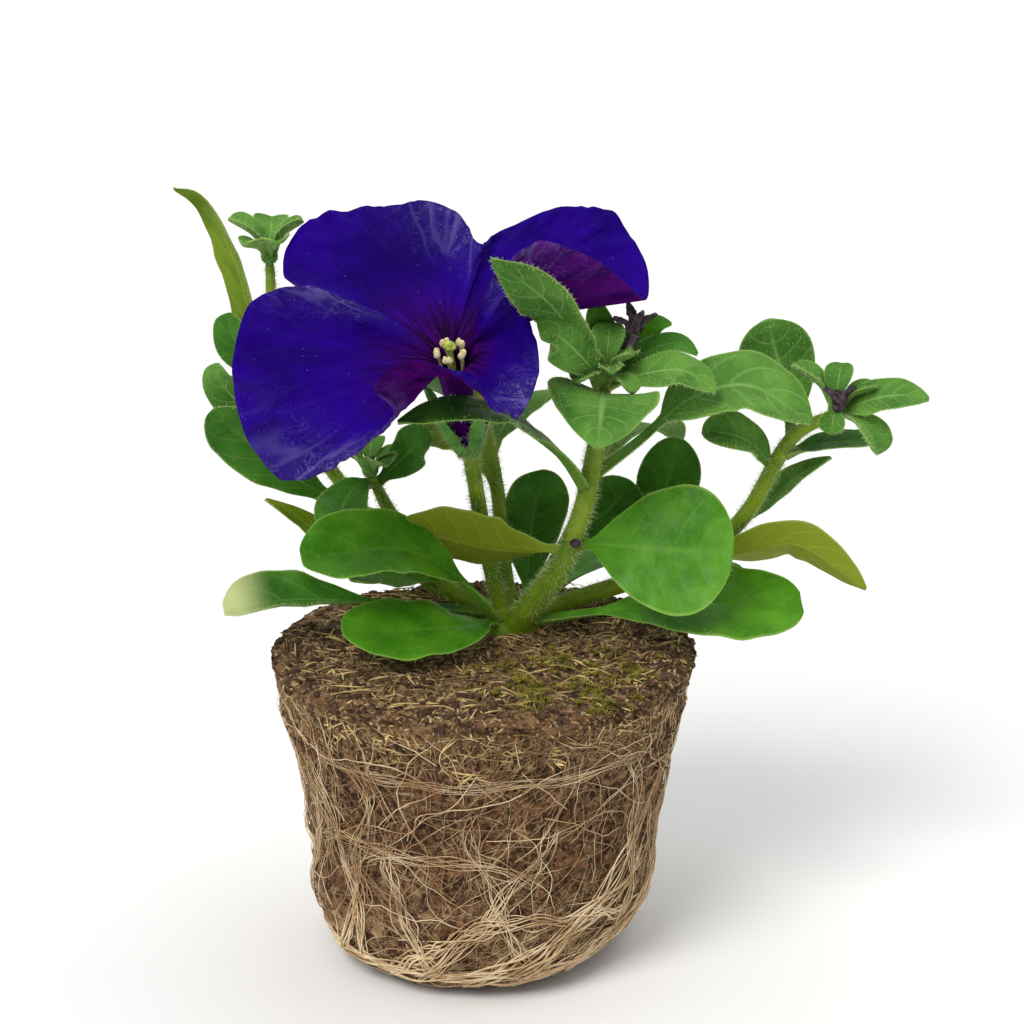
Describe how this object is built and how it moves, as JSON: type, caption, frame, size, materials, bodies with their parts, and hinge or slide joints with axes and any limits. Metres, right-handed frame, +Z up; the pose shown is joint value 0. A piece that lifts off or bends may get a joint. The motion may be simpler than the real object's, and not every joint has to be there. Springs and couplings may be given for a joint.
{
  "type": "flowering petunia plant on its bare root ball",
  "caption": "Young petunia plant with a large blue-violet funnel flower, leafy shoots and hairy stems, standing on a bare pot-shaped root ball wrapped in pale roots.",
  "frame": {"origin": "centre of the flat spot under the root ball", "axes": "+Z up, the flower faces -Y, and the long side shoot leans towards +X"},
  "size_m": [0.1477, 0.0995, 0.1554],
  "materials": {
    "peat": "matt, damp, crumbly",
    "root": "matt, fibrous",
    "stem": "satin, finely hairy",
    "petal": "velvety with a soft sheen",
    "stigma": "moist, satin",
    "anther": "matt, powdery",
    "calyx": "satin, finely hairy",
    "leaf_green": "smooth, satin",
    "leaf_dark": "smooth, satin",
    "leaf_pale": "velvety",
    "leaf_olive": "smooth, satin",
    "dry": "matt, shrivelled"
  },
  "bodies": {
    "root": {"peat_block": "peat", "root_net": "root", "stems": "stem", "corolla": "petal", "pistil": "stigma", "stamens": "anther", "calyx": "calyx", "shoot_tip_front": "leaf_pale", "shoot_tip_right": "leaf_pale", "shoot_tip_left": "leaf_pale", "shoot_tip_far_left": "leaf_pale", "shoot_tip_back_left": "leaf_pale", "shoot_tip_back_right": "leaf_pale", "leaf_low_right": "leaf_green", "leaf_soil_right": "leaf_green", "leaf_low_right_point": "leaf_olive", "leaf_low_left": "leaf_green", "leaf_mid_left": "leaf_olive", "leaf_soil_left": "leaf_green", "leaf_far_left": "leaf_dark", "leaf_under_flower": "leaf_dark", "leaf_upright_front": "leaf_pale", "leaf_front_hang": "leaf_pale", "leaf_front_right_large": "leaf_pale", "leaf_front_right_small": "leaf_pale", "leaf_front_left_small": "leaf_pale", "leaf_front_dark": "leaf_dark", "leaf_front_point": "leaf_green", "leaf_front_back": "leaf_green", "leaf_right_upright": "leaf_pale", "leaf_right_end": "leaf_pale", "leaf_right_under": "leaf_dark", "leaf_right_narrow": "leaf_pale", "leaf_right_cup": "leaf_pale", "leaf_left_small": "leaf_green", "leaf_left_olive": "leaf_olive", "leaf_left_hang": "leaf_dark", "leaf_left_dark": "leaf_dark", "leaf_tall_left": "leaf_olive", "leaf_tall_left_side": "leaf_dark", "leaf_tall_left_pale": "leaf_pale", "leaf_left_broad": "leaf_dark", "leaf_mid_behind": "leaf_olive", "leaf_inner_right": "leaf_dark", "leaf_inner_front": "leaf_dark", "leaf_inner_back": "leaf_dark", "leaf_back_left": "leaf_green", "leaf_back": "leaf_green", "leaf_back_right": "leaf_green", "leaf_back_far_right": "leaf_dark", "leaf_shoot_back_left": "leaf_green", "leaf_shoot_back": "leaf_pale", "leaf_shoot_back_right": "leaf_pale", "dry_bud_front": "dry", "dry_bud_right": "dry", "node_scar": "dry"}
  },
  "joints": []
}
